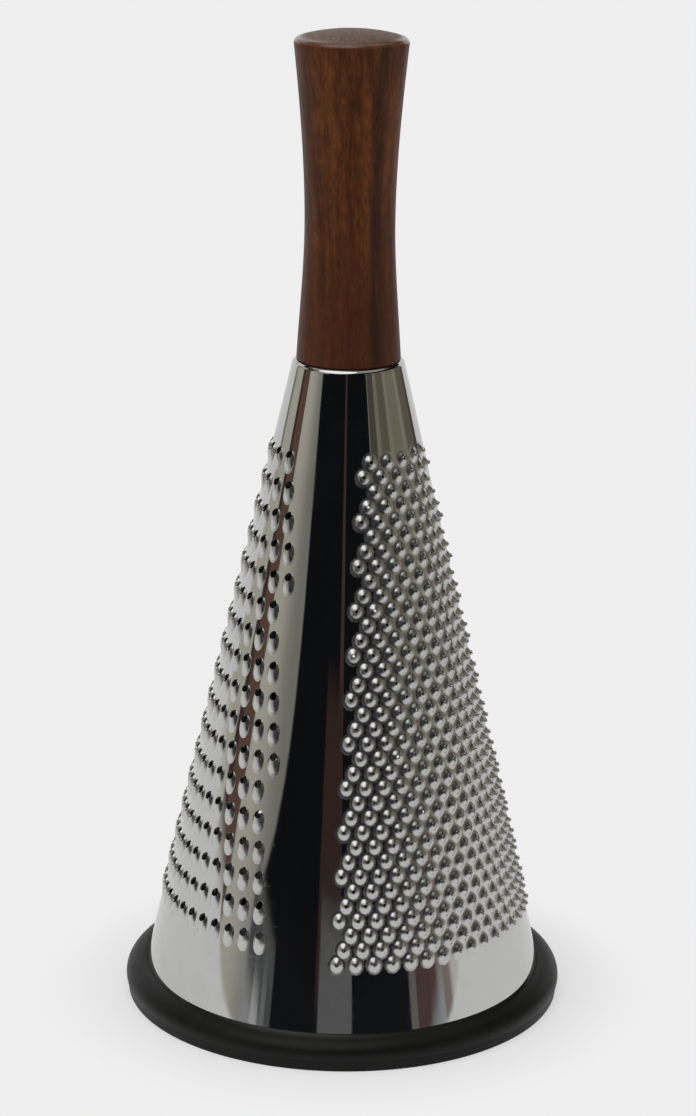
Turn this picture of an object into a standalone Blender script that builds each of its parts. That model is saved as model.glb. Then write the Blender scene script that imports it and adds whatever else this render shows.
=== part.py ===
# Conical hand grater with a turned wooden grip and a rubber foot ring.
# Metres, +Z up, origin at the centre of the underside of the foot ring.
# Angles around the cone are measured from the front (-Y), positive towards +X.

import math

import bpy
import bmesh
from mathutils import Matrix, Vector

# Clearances
FIT_GAP = 0.0003
CUT_OVERRUN = 0.002
MERGE_DISTANCE = 0.00001
SINK_SHARE = 0.5
SHARP_EDGE_ANGLE = math.radians(32)

# Grating cone: one sheet with a flat top plate
CONE_FOOT_RADIUS = 0.05378
CONE_TOP_RADIUS = 0.01429
CONE_HEIGHT = 0.1699
SHEET_THICKNESS = 0.0008
SHOULDER_RADIUS = 0.0009
SHOULDER_STEPS = 3
CONE_SEGMENTS = 40

# Plain strips between the three grating zones
ZONE_COUNT = 3
FIRST_STRIP_ANGLE = math.radians(-14.4)
STRIP_HALF_WIDTH = 0.0068
STRIP_FLARE_SHARE = 0.065

# Hoods of the shredding and coarse zones
HOOD_RIDGE_SHARE = 0.5

# Shredding zone: teardrop holes, each with a raised hood below it
SHRED_PITCH = 0.00485
SHRED_ROW_SPACING = 0.0077
SHRED_ROWS = 17
SHRED_FIRST_ROW = 0.02715
SHRED_FIRST_COLUMN = -0.0220
SHRED_ROW_SHIFT = -0.00027
SHRED_HOLE_WIDTH = 0.0018
SHRED_HOLE_LENGTH = 0.0025
SHRED_HOLE_TOP_SHARE = 0.0
SHRED_HOOD_WIDTH = 0.0030
SHRED_HOOD_LENGTH = 0.0039
SHRED_HOOD_HEIGHT = 0.0013

# Coarse zone on the far side: the same tooth, larger
COARSE_PITCH = 0.0116
COARSE_ROW_SPACING = 0.0160
COARSE_ROWS = 8
COARSE_FIRST_ROW = 0.0300
COARSE_FIRST_COLUMN = 0.0
COARSE_ROW_SHIFT = 0.0058
COARSE_HOLE_WIDTH = 0.0056
COARSE_HOLE_LENGTH = 0.0056
COARSE_HOLE_TOP_SHARE = 0.6
COARSE_HOOD_WIDTH = 0.0076
COARSE_HOOD_LENGTH = 0.0078
COARSE_HOOD_HEIGHT = 0.0022

# Rasp zone: a field of small raised points
RASP_PITCH = 0.0048
RASP_ROW_SPACING = 0.003768
RASP_ROWS = 35
RASP_FIRST_ROW = 0.02285
RASP_FIRST_COLUMN = -0.00139
RASP_ROW_SHIFT = 0.001765
RASP_POINT_HEIGHT = 0.0014
RASP_VALLEY_HEIGHT = 0.00006
RASP_MERGE_DISTANCE = 0.0007

# Rubber foot ring, set out from the cone's foot
RING_BEAD_INSET = 0.00028
RING_BEAD_WIDTH = 0.0048
RING_BEAD_HEIGHT = 0.0042
RING_BEAD_CENTRE_HEIGHT = 0.0041
RING_BAND_OVERHANG = 0.00392
RING_BAND_HEIGHT = 0.0028
RING_EDGE_RADIUS = 0.0004
RING_LIP_DROP = 0.00015
RING_BEAD_START = math.radians(-16)
RING_FLOOR = 0.0030
RING_INNER_INSET = 0.00448
RING_INNER_LIP_HEIGHT = 0.0076
RING_BEAD_STEPS = 6
RING_SEGMENTS = 40

# Turned handle
HANDLE_BASE_RADIUS = 0.01346
HANDLE_WAIST_RADIUS = 0.01156
HANDLE_RIM_RADIUS = 0.01470
HANDLE_RIM_HEIGHT = 0.0823
HANDLE_WAIST_HEIGHT = 0.0351
HANDLE_DOME_RISE = 0.0015
HANDLE_EDGE_RADIUS = 0.0012
HANDLE_BASE_EDGE = 0.0004
HANDLE_LOWER_FULLNESS_SHARE = 1.0
HANDLE_UPPER_FULLNESS_SHARE = 0.4
HANDLE_FLARE_STEPS = 7
HANDLE_EDGE_TURN = math.radians(80)
HANDLE_EDGE_STEPS = 3
HANDLE_DOME_SHARES = (0.35, 0.7, 1.0)
HANDLE_SEGMENTS = 32
HANDLE_PILOT_DEPTH = 0.0230

# Threaded insert in the foot of the handle
INSERT_RADIUS = 0.0045
INSERT_LENGTH = 0.0140
INSERT_CHAMFER = 0.0005

# Screw and washers inside the cone
SCREW_RADIUS = 0.0025
SCREW_LENGTH = 0.0220
SCREW_TIP_CHAMFER = 0.0006
SCREW_HEAD_RADIUS = 0.0047
SCREW_HEAD_HEIGHT = 0.0034
SCREW_HEAD_ROUNDING_SHARE = 0.55
SCREW_HEAD_STEPS = 3
SCREW_RECESS_SPAN = 0.0050
SCREW_RECESS_WIDTH = 0.0011
SCREW_RECESS_DEPTH = 0.0018
LOCK_WASHER_RADIUS = 0.0045
LOCK_WASHER_THICKNESS = 0.0012
LOCK_WASHER_SPLIT = 0.0012
LOCK_WASHER_RISE = 0.0004
CLAMP_WASHER_RADIUS = 0.0108
CLAMP_WASHER_THICKNESS = 0.0015
SMALL_SEGMENTS = 24

# Worked out from the dimensions above
CONE_FOOT_HEIGHT = RING_FLOOR + FIT_GAP
CONE_TOP_HEIGHT = CONE_FOOT_HEIGHT + CONE_HEIGHT
CONE_TAPER = (CONE_FOOT_RADIUS - CONE_TOP_RADIUS) / CONE_HEIGHT
CONE_ANGLE = math.atan(CONE_TAPER)
WALL_WIDTH = SHEET_THICKNESS / math.cos(CONE_ANGLE)
SCREW_HOLE_RADIUS = SCREW_RADIUS + FIT_GAP
PLATE_UNDERSIDE = CONE_TOP_HEIGHT - SHEET_THICKNESS
RING_BEAD_CENTRE_RADIUS = CONE_FOOT_RADIUS - RING_BEAD_INSET
RING_BAND_RADIUS = CONE_FOOT_RADIUS + RING_BAND_OVERHANG
RING_INNER_RADIUS = CONE_FOOT_RADIUS - RING_INNER_INSET
HANDLE_BASE_HEIGHT = CONE_TOP_HEIGHT + FIT_GAP
CLAMP_WASHER_TOP = PLATE_UNDERSIDE - FIT_GAP
CLAMP_WASHER_BOTTOM = CLAMP_WASHER_TOP - CLAMP_WASHER_THICKNESS
LOCK_WASHER_TOP = CLAMP_WASHER_BOTTOM - FIT_GAP
LOCK_WASHER_BOTTOM = LOCK_WASHER_TOP - LOCK_WASHER_THICKNESS - LOCK_WASHER_RISE
SCREW_SEAT_HEIGHT = LOCK_WASHER_BOTTOM - FIT_GAP


def clear_scene():
    for item in list(bpy.data.objects):
        bpy.data.objects.remove(item, do_unlink=True)


def principled_material(name, colour, roughness, metallic):
    material = bpy.data.materials.new(name)
    material.use_nodes = True
    shader = material.node_tree.nodes["Principled BSDF"]
    shader.inputs["Base Color"].default_value = (*colour, 1.0)
    shader.inputs["Roughness"].default_value = roughness
    shader.inputs["Metallic"].default_value = metallic
    material.diffuse_color = (*colour, 1.0)
    return material


def mirror_steel():
    return principled_material("mirror_steel", (0.62, 0.62, 0.61), 0.08, 1.0)


def dark_wood():
    return principled_material("dark_wood", (0.085, 0.032, 0.015), 0.45, 0.0)


def black_rubber():
    return principled_material("black_rubber", (0.022, 0.022, 0.021), 0.55, 0.0)


def zinc_steel():
    return principled_material("zinc_steel", (0.55, 0.56, 0.57), 0.3, 1.0)


def washer_steel():
    return principled_material("washer_steel", (0.5, 0.5, 0.5), 0.35, 1.0)


def spring_steel():
    return principled_material("spring_steel", (0.3, 0.3, 0.31), 0.4, 1.0)


def insert_brass():
    return principled_material("insert_brass", (0.72, 0.52, 0.22), 0.3, 1.0)


def object_from_bmesh(name, shape, material=None):
    mesh = bpy.data.meshes.new(name)
    bmesh.ops.recalc_face_normals(shape, faces=shape.faces[:])
    shape.to_mesh(mesh)
    shape.free()
    if material:
        mesh.materials.append(material)
    piece = bpy.data.objects.new(name, mesh)
    bpy.context.scene.collection.objects.link(piece)
    return piece


def shade_round(piece):
    piece.data.shade_smooth()
    piece.data.set_sharp_from_angle(angle=SHARP_EDGE_ANGLE)


def turned_shape(profile, segments):
    # The profile is a closed loop of (radius, height) points; points on the axis are allowed.
    shape = bmesh.new()
    ring = [shape.verts.new((0.0, -radius, height)) for radius, height in profile]
    edges = [shape.edges.new((ring[i], ring[(i + 1) % len(ring)])) for i in range(len(ring))]
    on_axis = [edge for edge in edges
               if all(abs(vert.co.y) < MERGE_DISTANCE for vert in edge.verts)]
    bmesh.ops.delete(shape, geom=on_axis, context="EDGES_FACES")
    bmesh.ops.spin(
        shape,
        geom=shape.verts[:] + shape.edges[:],
        cent=(0.0, 0.0, 0.0),
        axis=(0.0, 0.0, 1.0),
        angle=math.tau,
        steps=segments,
        use_merge=True,
    )
    bmesh.ops.remove_doubles(shape, verts=shape.verts[:], dist=MERGE_DISTANCE)
    return shape


def arc_points(centre, radii, start, end, steps):
    # Points of an arc or a quarter ellipse, from one angle to another.
    points = []
    for step in range(steps + 1):
        angle = start + (end - start) * step / steps
        points.append((centre[0] + radii[0] * math.cos(angle), centre[1] + radii[1] * math.sin(angle)))
    return points


def cone_radius(slant):
    # Outer radius of the cone at a distance up its slope from the lower edge.
    return CONE_FOOT_RADIUS - slant * math.sin(CONE_ANGLE)


def cone_point(slant, angle, stand_off):
    # A point that stands off the outer surface, at an angle around the cone.
    radius = cone_radius(slant) + stand_off * math.cos(CONE_ANGLE)
    height = CONE_FOOT_HEIGHT + slant * math.cos(CONE_ANGLE) + stand_off * math.sin(CONE_ANGLE)
    return Vector((radius * math.sin(angle), -radius * math.cos(angle), height))


def cone_frame(slant, angle):
    # Local frame on the outer surface: X along the row, Y up the slope, Z outward.
    across = Vector((math.cos(angle), math.sin(angle), 0.0))
    outward = Vector((math.cos(CONE_ANGLE) * math.sin(angle), -math.cos(CONE_ANGLE) * math.cos(angle),
                      math.sin(CONE_ANGLE)))
    upward = outward.cross(across)
    frame = Matrix((across, upward, outward)).transposed().to_4x4()
    frame.translation = cone_point(slant, angle, 0.0)
    return frame


def strip_half_width(radius):
    return STRIP_HALF_WIDTH + STRIP_FLARE_SHARE * radius


def zone_rows(zone, zero_angle, first_row, row_spacing, rows, first_column, row_shift, pitch):
    # Rows of teeth from the bottom up: for each, its slant and the angles of its teeth.
    left_strip = FIRST_STRIP_ANGLE + math.tau * (zone - 1) / ZONE_COUNT
    right_strip = left_strip + math.tau / ZONE_COUNT
    found = []
    for row in range(rows):
        slant = first_row + row * row_spacing
        radius = cone_radius(slant)
        low = radius * left_strip + strip_half_width(radius)
        high = radius * right_strip - strip_half_width(radius)
        start = radius * zero_angle + first_column + row * row_shift
        first = math.ceil((low - start) / pitch)
        last = math.floor((high - start) / pitch)
        arcs = [start + index * pitch for index in range(first, last + 1)]
        found.append((slant, [arc / radius for arc in arcs]))
    return found


def shred_rows():
    return zone_rows(0, 0.0, SHRED_FIRST_ROW, SHRED_ROW_SPACING, SHRED_ROWS,
                     SHRED_FIRST_COLUMN, SHRED_ROW_SHIFT, SHRED_PITCH)


def rasp_rows():
    return zone_rows(1, 0.0, RASP_FIRST_ROW, RASP_ROW_SPACING, RASP_ROWS,
                     RASP_FIRST_COLUMN, RASP_ROW_SHIFT, RASP_PITCH)


def coarse_rows():
    middle = FIRST_STRIP_ANGLE + math.tau * 1.5 / ZONE_COUNT
    return zone_rows(2, middle, COARSE_FIRST_ROW, COARSE_ROW_SPACING, COARSE_ROWS,
                     COARSE_FIRST_COLUMN, COARSE_ROW_SHIFT, COARSE_PITCH)


def add_prism(shape, frame, outline, low, high):
    # A straight prism on a polygon given in the local frame.
    bottom = [shape.verts.new(frame @ Vector((x, y, low))) for x, y in outline]
    top = [shape.verts.new(frame @ Vector((x, y, high))) for x, y in outline]
    shape.faces.new(bottom[::-1])
    shape.faces.new(top)
    for i in range(len(outline)):
        j = (i + 1) % len(outline)
        shape.faces.new((bottom[i], bottom[j], top[j], top[i]))


def add_hood(shape, frame, width, length, height, lip):
    # A wedge whose tall end faces up the slope and whose tail runs down to the sheet.
    sink = -SHEET_THICKNESS * SINK_SHARE
    half = width / 2
    ridge = half * HOOD_RIDGE_SHARE
    corners = [(-half, lip, sink), (half, lip, sink), (0.0, lip - length, sink),
               (-ridge, lip, height), (ridge, lip, height)]
    verts = [shape.verts.new(frame @ Vector(corner)) for corner in corners]
    for face in ((0, 2, 1), (0, 1, 4, 3), (0, 3, 2), (1, 2, 4), (3, 4, 2)):
        shape.faces.new([verts[i] for i in face])


def tooth_zone(holes, hoods, rows, hole_width, hole_length, hole_top_share,
               hood_width, hood_length, hood_height):
    # A hole narrows towards its top, to a point where the top share is zero.
    top = hole_width * hole_top_share / 2
    outline = [(-hole_width / 2, -hole_length / 2), (hole_width / 2, -hole_length / 2), (top, hole_length / 2)]
    if top:
        outline.append((-top, hole_length / 2))
    depth = SHEET_THICKNESS + CUT_OVERRUN
    lip = -hole_length / 2 - FIT_GAP * SINK_SHARE
    for slant, angles in rows:
        for angle in angles:
            frame = cone_frame(slant, angle)
            add_prism(holes, frame, outline, -depth, CUT_OVERRUN)
            add_hood(hoods, frame, hood_width, hood_length, hood_height, lip)


def rasp_field():
    # Each point is a low pyramid on a cell of the staggered pattern. Rows share the corner
    # points of their common line, so the field is one closed body.
    shape = bmesh.new()
    half_row = RASP_ROW_SPACING / 2
    rows = rasp_rows()
    levels = [{} for line in range(len(rows) + 1)]

    def corner(level, angle):
        slant = RASP_FIRST_ROW - half_row + level * RASP_ROW_SPACING
        near = RASP_MERGE_DISTANCE / cone_radius(slant)
        for known, pair in levels[level].items():
            if abs(known - angle) < near:
                return known
        front = shape.verts.new(cone_point(slant, angle, RASP_VALLEY_HEIGHT))
        back = shape.verts.new(cone_point(slant, angle, -SHEET_THICKNESS * SINK_SHARE))
        levels[level][angle] = (front, back)
        return angle

    cells = []
    for row, (slant, angles) in enumerate(rows):
        if not angles:
            continue
        half_cell = RASP_PITCH / 2 / cone_radius(slant)
        edges = [angles[0] - half_cell] + [angle + half_cell for angle in angles]
        lower = [corner(row, angle) for angle in edges]
        upper = [corner(row + 1, angle) for angle in edges]
        for column, angle in enumerate(angles):
            cells.append((row, slant, angle, lower[column:column + 2], upper[column:column + 2]))
    for row, slant, angle, lower, upper in cells:
        below = sorted(known for known in levels[row] if lower[0] <= known <= lower[1])
        above = sorted((known for known in levels[row + 1] if upper[0] <= known <= upper[1]), reverse=True)
        loop = [levels[row][known] for known in below] + [levels[row + 1][known] for known in above]
        tip = shape.verts.new(cone_point(slant, angle, RASP_POINT_HEIGHT))
        for i in range(len(loop)):
            shape.faces.new((loop[i][0], loop[(i + 1) % len(loop)][0], tip))
        shape.faces.new([pair[1] for pair in reversed(loop)])
    partner = {}
    for level in levels:
        for front, back in level.values():
            partner[front] = back
    rim = [edge for edge in shape.edges if edge.is_boundary and edge.verts[0] in partner]
    for edge in rim:
        first, second = edge.verts
        shape.faces.new((first, second, partner[second], partner[first]))
    bmesh.ops.triangulate(shape, faces=[face for face in shape.faces if len(face.verts) > 4])
    return shape


def hidden_operand(name, shape):
    piece = object_from_bmesh(name, shape)
    piece.hide_render = True
    piece.display_type = "WIRE"
    return piece


def add_boolean(piece, operand, operation):
    cut = piece.modifiers.new(operand.name, "BOOLEAN")
    cut.object = operand
    cut.operation = operation
    cut.solver = "EXACT"


def grating_cone():
    top_inset = SHOULDER_RADIUS * math.tan((math.pi / 2 - CONE_ANGLE) / 2)
    shoulder_centre = (CONE_TOP_RADIUS - top_inset, CONE_TOP_HEIGHT - SHOULDER_RADIUS)
    outside = [(CONE_FOOT_RADIUS, CONE_FOOT_HEIGHT)]
    outside += arc_points(shoulder_centre, (SHOULDER_RADIUS, SHOULDER_RADIUS),
                          CONE_ANGLE, math.pi / 2, SHOULDER_STEPS)
    plate = [(SCREW_HOLE_RADIUS, CONE_TOP_HEIGHT), (SCREW_HOLE_RADIUS, PLATE_UNDERSIDE)]
    inner_top = CONE_TOP_RADIUS + SHEET_THICKNESS * CONE_TAPER - WALL_WIDTH
    inside = [(inner_top, PLATE_UNDERSIDE), (CONE_FOOT_RADIUS - WALL_WIDTH, CONE_FOOT_HEIGHT)]
    shell = turned_shape(outside + plate + inside, CONE_SEGMENTS)
    piece = object_from_bmesh("grating_cone", shell, mirror_steel())
    holes = bmesh.new()
    hoods = bmesh.new()
    tooth_zone(holes, hoods, shred_rows(), SHRED_HOLE_WIDTH, SHRED_HOLE_LENGTH, SHRED_HOLE_TOP_SHARE,
               SHRED_HOOD_WIDTH, SHRED_HOOD_LENGTH, SHRED_HOOD_HEIGHT)
    tooth_zone(holes, hoods, coarse_rows(), COARSE_HOLE_WIDTH, COARSE_HOLE_LENGTH, COARSE_HOLE_TOP_SHARE,
               COARSE_HOOD_WIDTH, COARSE_HOOD_LENGTH, COARSE_HOOD_HEIGHT)
    add_boolean(piece, hidden_operand("tooth_holes", holes), "DIFFERENCE")
    add_boolean(piece, hidden_operand("tooth_hoods", hoods), "UNION")
    add_boolean(piece, hidden_operand("rasp_points", rasp_field()), "UNION")
    shade_round(piece)
    return piece


def foot_ring():
    # The slot follows the cone's slope and leaves a fitting gap on both faces of the sheet.
    bead_centre = (RING_BEAD_CENTRE_RADIUS, RING_BEAD_CENTRE_HEIGHT)
    bead_radii = (RING_BEAD_WIDTH, RING_BEAD_HEIGHT)
    slot_gap = FIT_GAP / math.cos(CONE_ANGLE)
    lip_height = RING_BEAD_CENTRE_HEIGHT + RING_BEAD_HEIGHT - RING_LIP_DROP
    outer_foot = CONE_FOOT_RADIUS + slot_gap + (CONE_FOOT_HEIGHT - RING_FLOOR) * CONE_TAPER
    outer_lip = CONE_FOOT_RADIUS + slot_gap - (lip_height - CONE_FOOT_HEIGHT) * CONE_TAPER
    inner_foot = outer_foot - WALL_WIDTH - 2 * slot_gap
    inner_lip = inner_foot - (RING_INNER_LIP_HEIGHT - RING_FLOOR) * CONE_TAPER
    band = [(RING_BAND_RADIUS - RING_EDGE_RADIUS, 0.0), (RING_BAND_RADIUS, RING_EDGE_RADIUS),
            (RING_BAND_RADIUS, RING_BAND_HEIGHT)]
    bead = arc_points(bead_centre, bead_radii, RING_BEAD_START, math.pi / 2, RING_BEAD_STEPS)
    slot = [(outer_lip, lip_height), (outer_foot, RING_FLOOR), (inner_foot, RING_FLOOR),
            (inner_lip, RING_INNER_LIP_HEIGHT)]
    inside = [(RING_INNER_RADIUS, RING_INNER_LIP_HEIGHT - RING_EDGE_RADIUS),
              (RING_INNER_RADIUS, RING_EDGE_RADIUS), (RING_INNER_RADIUS + RING_EDGE_RADIUS, 0.0)]
    ring = turned_shape(band + bead + slot + inside, RING_SEGMENTS)
    piece = object_from_bmesh("foot_ring", ring, black_rubber())
    shade_round(piece)
    return piece


def handle_radius(height):
    # Parabolic flares above and below the waist, each a little fuller than a plain parabola.
    if height < HANDLE_WAIST_HEIGHT:
        share = (HANDLE_WAIST_HEIGHT - height) / HANDLE_WAIST_HEIGHT
        flare = HANDLE_BASE_RADIUS - HANDLE_WAIST_RADIUS
        fullness = HANDLE_LOWER_FULLNESS_SHARE
    else:
        share = (height - HANDLE_WAIST_HEIGHT) / (HANDLE_RIM_HEIGHT - HANDLE_WAIST_HEIGHT)
        flare = HANDLE_RIM_RADIUS - HANDLE_WAIST_RADIUS
        fullness = HANDLE_UPPER_FULLNESS_SHARE
    return HANDLE_WAIST_RADIUS + flare * share ** 2 * (1 + fullness * (1 - share))


def handle():
    base = HANDLE_BASE_HEIGHT
    grip = [(HANDLE_BASE_RADIUS - HANDLE_BASE_EDGE, base)]
    low = HANDLE_BASE_EDGE
    high = HANDLE_RIM_HEIGHT - HANDLE_EDGE_RADIUS
    heights = [low + (HANDLE_WAIST_HEIGHT - low) * i / HANDLE_FLARE_STEPS for i in range(HANDLE_FLARE_STEPS)]
    heights += [HANDLE_WAIST_HEIGHT + (high - HANDLE_WAIST_HEIGHT) * i / HANDLE_FLARE_STEPS
                for i in range(HANDLE_FLARE_STEPS)]
    grip += [(handle_radius(height), base + height) for height in heights]
    rim = handle_radius(high)
    edge = arc_points((rim - HANDLE_EDGE_RADIUS, base + high), (HANDLE_EDGE_RADIUS, HANDLE_EDGE_RADIUS),
                      0.0, HANDLE_EDGE_TURN, HANDLE_EDGE_STEPS)
    dome_radius, dome_foot = edge[-1]
    rise = base + HANDLE_RIM_HEIGHT + HANDLE_DOME_RISE - dome_foot
    dome = [(dome_radius * (1 - share), dome_foot + rise * (1 - (1 - share) ** 2))
            for share in HANDLE_DOME_SHARES]
    socket_radius = INSERT_RADIUS + FIT_GAP
    socket_top = base + FIT_GAP + INSERT_LENGTH + FIT_GAP
    pilot_top = base + HANDLE_PILOT_DEPTH
    bore = [(0.0, pilot_top), (SCREW_HOLE_RADIUS, pilot_top), (SCREW_HOLE_RADIUS, socket_top),
            (socket_radius, socket_top), (socket_radius, base)]
    grip_shape = turned_shape(grip + edge + dome + bore, HANDLE_SEGMENTS)
    piece = object_from_bmesh("handle", grip_shape, dark_wood())
    shade_round(piece)
    return piece


def thread_insert():
    bottom = HANDLE_BASE_HEIGHT + FIT_GAP
    top = bottom + INSERT_LENGTH
    profile = [(INSERT_RADIUS - INSERT_CHAMFER, bottom), (INSERT_RADIUS, bottom + INSERT_CHAMFER),
               (INSERT_RADIUS, top - INSERT_CHAMFER), (INSERT_RADIUS - INSERT_CHAMFER, top),
               (SCREW_HOLE_RADIUS, top), (SCREW_HOLE_RADIUS, bottom)]
    piece = object_from_bmesh("thread_insert", turned_shape(profile, SMALL_SEGMENTS), insert_brass())
    shade_round(piece)
    return piece


def handle_screw():
    tip = SCREW_SEAT_HEIGHT + SCREW_LENGTH
    head_bottom = SCREW_SEAT_HEIGHT - SCREW_HEAD_HEIGHT
    rounding = SCREW_HEAD_HEIGHT * SCREW_HEAD_ROUNDING_SHARE
    head = arc_points((SCREW_HEAD_RADIUS - rounding, head_bottom + rounding), (rounding, rounding),
                      -math.pi / 2, 0.0, SCREW_HEAD_STEPS)
    profile = [(0.0, head_bottom)] + head
    profile += [(SCREW_HEAD_RADIUS, SCREW_SEAT_HEIGHT), (SCREW_RADIUS, SCREW_SEAT_HEIGHT),
                (SCREW_RADIUS, tip - SCREW_TIP_CHAMFER), (SCREW_RADIUS - SCREW_TIP_CHAMFER, tip), (0.0, tip)]
    piece = object_from_bmesh("handle_screw", turned_shape(profile, SMALL_SEGMENTS), zinc_steel())
    recess = bmesh.new()
    half = SCREW_RECESS_SPAN / 2
    side = SCREW_RECESS_WIDTH / 2
    cross = [(side, -half), (side, -side), (half, -side), (half, side), (side, side), (side, half),
             (-side, half), (-side, side), (-half, side), (-half, -side), (-side, -side), (-side, -half)]
    seat = Matrix.Translation((0.0, 0.0, head_bottom))
    add_prism(recess, seat, cross, -CUT_OVERRUN, SCREW_RECESS_DEPTH)
    add_boolean(piece, hidden_operand("screw_recess", recess), "DIFFERENCE")
    shade_round(piece)
    return piece


def lock_washer():
    # A square-edged coil of nearly one turn, with a split and a small rise.
    shape = bmesh.new()
    split = LOCK_WASHER_SPLIT / LOCK_WASHER_RADIUS
    sections = []
    for step in range(SMALL_SEGMENTS + 1):
        share = step / SMALL_SEGMENTS
        angle = split / 2 + (math.tau - split) * share
        low = LOCK_WASHER_BOTTOM + LOCK_WASHER_RISE * share
        high = low + LOCK_WASHER_THICKNESS
        corners = [(SCREW_HOLE_RADIUS, low), (LOCK_WASHER_RADIUS, low),
                   (LOCK_WASHER_RADIUS, high), (SCREW_HOLE_RADIUS, high)]
        sections.append([shape.verts.new((radius * math.sin(angle), -radius * math.cos(angle), height))
                         for radius, height in corners])
    shape.faces.new(sections[0])
    shape.faces.new(sections[-1][::-1])
    for first, second in zip(sections, sections[1:]):
        for i in range(4):
            j = (i + 1) % 4
            shape.faces.new((first[i], first[j], second[j], second[i]))
    piece = object_from_bmesh("lock_washer", shape, spring_steel())
    shade_round(piece)
    return piece


def clamp_washer():
    profile = [(SCREW_HOLE_RADIUS, CLAMP_WASHER_BOTTOM), (CLAMP_WASHER_RADIUS, CLAMP_WASHER_BOTTOM),
               (CLAMP_WASHER_RADIUS, CLAMP_WASHER_TOP), (SCREW_HOLE_RADIUS, CLAMP_WASHER_TOP)]
    piece = object_from_bmesh("clamp_washer", turned_shape(profile, SMALL_SEGMENTS), washer_steel())
    shade_round(piece)
    return piece


def build_grater():
    clear_scene()
    grating_cone()
    foot_ring()
    handle()
    thread_insert()
    handle_screw()
    lock_washer()
    clamp_washer()


build_grater()
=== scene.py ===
import math

import bmesh
import bpy
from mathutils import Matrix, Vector


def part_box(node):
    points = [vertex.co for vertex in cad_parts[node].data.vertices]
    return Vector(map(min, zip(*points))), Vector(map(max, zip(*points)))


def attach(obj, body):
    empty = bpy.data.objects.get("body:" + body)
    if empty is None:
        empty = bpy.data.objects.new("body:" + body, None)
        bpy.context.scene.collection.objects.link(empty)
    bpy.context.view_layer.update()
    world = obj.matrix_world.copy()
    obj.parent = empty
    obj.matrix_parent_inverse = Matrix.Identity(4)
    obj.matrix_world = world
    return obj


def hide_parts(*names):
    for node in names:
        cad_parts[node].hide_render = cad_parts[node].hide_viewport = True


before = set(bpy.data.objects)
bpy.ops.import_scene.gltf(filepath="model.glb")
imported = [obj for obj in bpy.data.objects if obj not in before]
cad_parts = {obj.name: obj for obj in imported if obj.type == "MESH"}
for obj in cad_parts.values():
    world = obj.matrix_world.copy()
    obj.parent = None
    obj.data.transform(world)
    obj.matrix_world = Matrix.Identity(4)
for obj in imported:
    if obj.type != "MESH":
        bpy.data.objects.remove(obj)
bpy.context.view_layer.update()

# Everything is in metres. The grater stands on z = 0 and its front is -Y.
# Angles round the cone start at the front and grow towards +X.

coneLow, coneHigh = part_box("grating_cone")
handleLow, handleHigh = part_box("handle")

cone = {
    "footRadius": coneHigh[0],
    "topRadius": 0.01429,
    "footHeight": coneLow[2],
    "topHeight": coneHigh[2],
    "sheet": 0.0008,
    "shoulderRadius": 0.0014,
    "screwHole": 0.0028,
    "around": 192,               # faces round the sheet
    "upright": 6,                # faces from foot to shoulder
    "shoulderSteps": 8,
    "sharpFrom": 30,
    "insideFacing": -0.2,        # a face that looks inwards more than this is inside
    "wallFacing": 0.995,         # a face that follows the slope this well is rolled wall
}
coneAngle = math.atan((cone["footRadius"] - cone["topRadius"])
                      / (cone["topHeight"] - cone["footHeight"]))


# Helpers for meshes.

mergeDistance = 1e-6


def addObject(name, data):
    item = bpy.data.objects.new(name, data)
    bpy.context.scene.collection.objects.link(item)
    return item


def makePiece(name, shape, *materials):
    mesh = bpy.data.meshes.new(name)
    shape.to_mesh(mesh)
    shape.free()
    for material in materials:
        mesh.materials.append(material)
    return addObject(name, mesh)


def shadeRound(mesh, sharpFrom=40):
    mesh.shade_smooth()
    mesh.set_sharp_from_angle(angle=math.radians(sharpFrom))


def spinProfile(profile, around):
    # profile: closed loop of (radius, height); a point on the axis becomes a pole
    shape = bmesh.new()
    loop = [shape.verts.new((0.0, -radius, height)) for radius, height in profile]
    for first, second in zip(loop, loop[1:] + loop[:1]):
        if first.co.y or second.co.y:
            shape.edges.new((first, second))
    bmesh.ops.spin(shape, geom=shape.verts[:] + shape.edges[:], cent=(0, 0, 0), axis=(0, 0, 1),
                   angle=math.tau, steps=around, use_merge=True)
    bmesh.ops.remove_doubles(shape, verts=shape.verts[:], dist=mergeDistance)
    bmesh.ops.recalc_face_normals(shape, faces=shape.faces[:])
    return shape


def arc(centre, across, up, start, end, steps):
    turns = [math.radians(start + (end - start) * step / steps) for step in range(steps + 1)]
    return [(centre[0] + across * math.cos(turn), centre[1] + up * math.sin(turn))
            for turn in turns]


def evenSteps(start, end, steps):
    return [(start[0] + (end[0] - start[0]) * step / steps,
             start[1] + (end[1] - start[1]) * step / steps) for step in range(steps + 1)]


# Helpers for node trees.

def feed(tree, socket, value):
    if isinstance(value, bpy.types.NodeSocket):
        tree.links.new(value, socket)
    elif socket.type == "RGBA":
        socket.default_value = (*value, 1)
    else:
        socket.default_value = value


def addNode(tree, kind, inputs=None, **settings):
    item = tree.nodes.new(kind)
    for name, value in settings.items():
        setattr(item, name, value)
    for key, value in (inputs or {}).items():
        feed(tree, item.inputs[key], value)
    return item


def calc(tree, operation, *values):
    return addNode(tree, "ShaderNodeMath", dict(enumerate(values)), operation=operation).outputs[0]


def plus(tree, first, second):
    return calc(tree, "ADD", first, second)


def minus(tree, first, second):
    return calc(tree, "SUBTRACT", first, second)


def times(tree, first, second):
    return calc(tree, "MULTIPLY", first, second)


def vectorCalc(tree, operation, *values, result="Vector"):
    return addNode(tree, "ShaderNodeVectorMath", dict(enumerate(values)),
                   operation=operation).outputs[result]


def mixColour(tree, factor, first, second):
    return addNode(tree, "ShaderNodeMix", {0: factor, 6: first, 7: second},
                   data_type="RGBA").outputs[2]


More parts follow.
